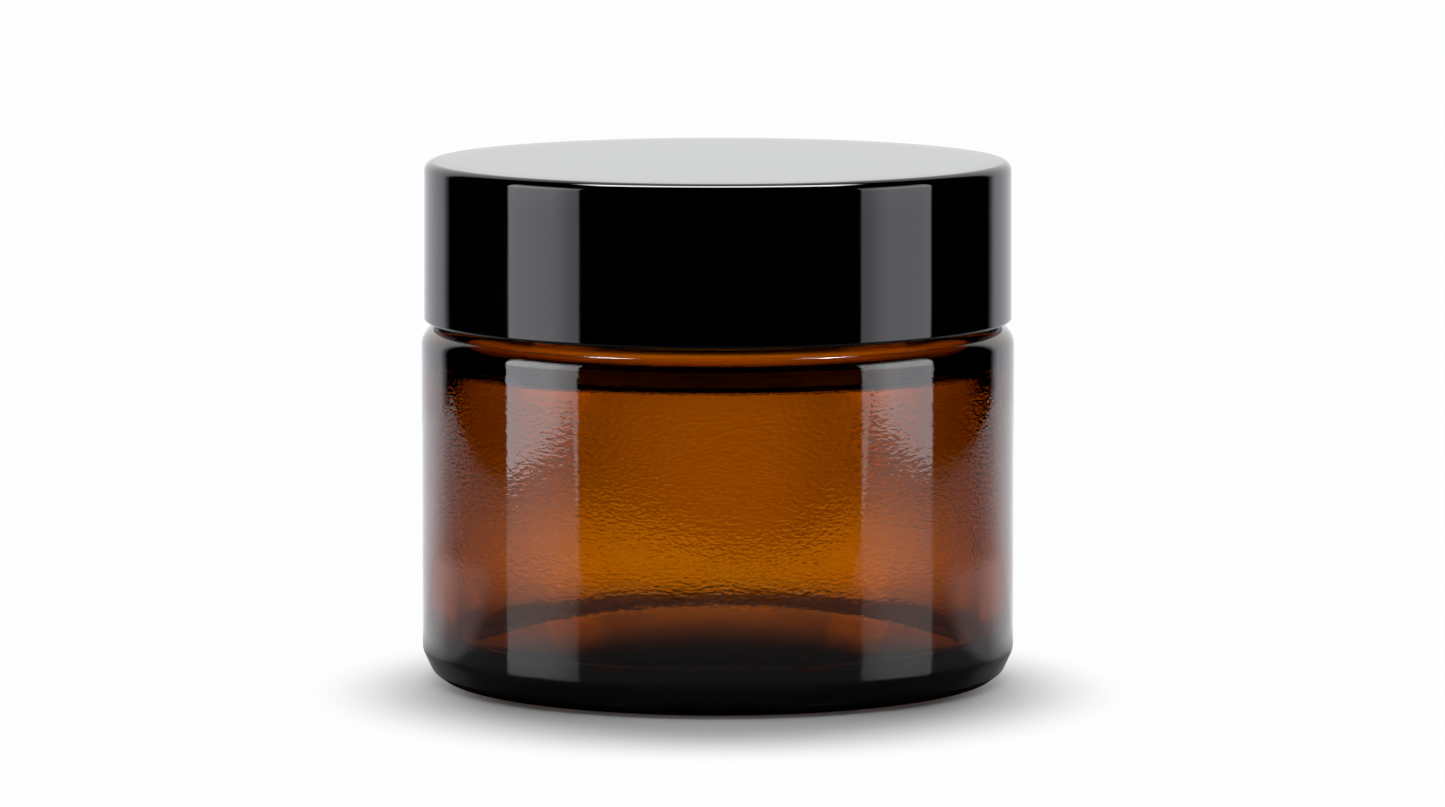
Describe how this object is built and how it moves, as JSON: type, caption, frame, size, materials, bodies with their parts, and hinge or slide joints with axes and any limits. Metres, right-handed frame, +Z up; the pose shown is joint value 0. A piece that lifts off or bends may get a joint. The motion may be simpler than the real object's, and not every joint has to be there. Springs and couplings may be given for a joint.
{
  "type": "cosmetic cream jar",
  "caption": "Straight-sided amber glass cosmetic jar with a glossy black screw lid, foam liner and lift-out sealing disc.",
  "frame": {"origin": "centre of the plane the jar stands on", "axes": "+Z up along the jar's axis; +X towards where the glass thread's lower end starts; the disc's pull tab points along +X"},
  "size_m": [0.058, 0.058, 0.0508],
  "materials": {
    "amber_glass": "transparent amber soda-lime glass, polished, slight moulding ripple",
    "black_gloss": "high-gloss black moulded plastic",
    "black_insert": "satin black moulded polypropylene",
    "white_foam": "white expanded-polyethylene foam",
    "white_plastic": "translucent white moulded polypropylene"
  },
  "bodies": {
    "jar": {"glass_jar": "amber_glass"},
    "liner": {"cap_liner": "white_foam"},
    "cap": {"cap_shell": "black_gloss", "inner_cap": "black_insert"},
    "disc": {"sealing_disc": "white_plastic"},
    "tab": {"disc_pull_tab": "white_plastic"}
  },
  "joints": [
    {"name": "cap_lift", "type": "slide", "parent": "jar", "child": "liner", "axis": [0, 0, 1], "range_m": [0, 0.01271]},
    {"name": "cap_turn", "type": "hinge", "parent": "liner", "child": "cap", "pos_m": [0, 0, 0.0353], "axis": [0, 0, 1], "range_deg": [0, 1080]},
    {"name": "disc_lift", "type": "slide", "parent": "jar", "child": "disc", "axis": [0, 0, 1], "range_m": [0, 0.00401]},
    {"name": "tab_fold", "type": "hinge", "parent": "disc", "child": "tab", "pos_m": [-0.003, 0, 0.04535], "axis": [0, -1, 0], "range_deg": [0, 60.1]}
  ],
  "couplings": [
    {"joint": "cap_lift", "follows": "cap_turn", "m_per_rad": 0.00067376},
    {"joint": "disc_lift", "follows": "cap_turn", "m_per_rad": 0.00021221},
    {"joint": "tab_fold", "follows": "cap_turn", "ratio": 0.055556}
  ]
}
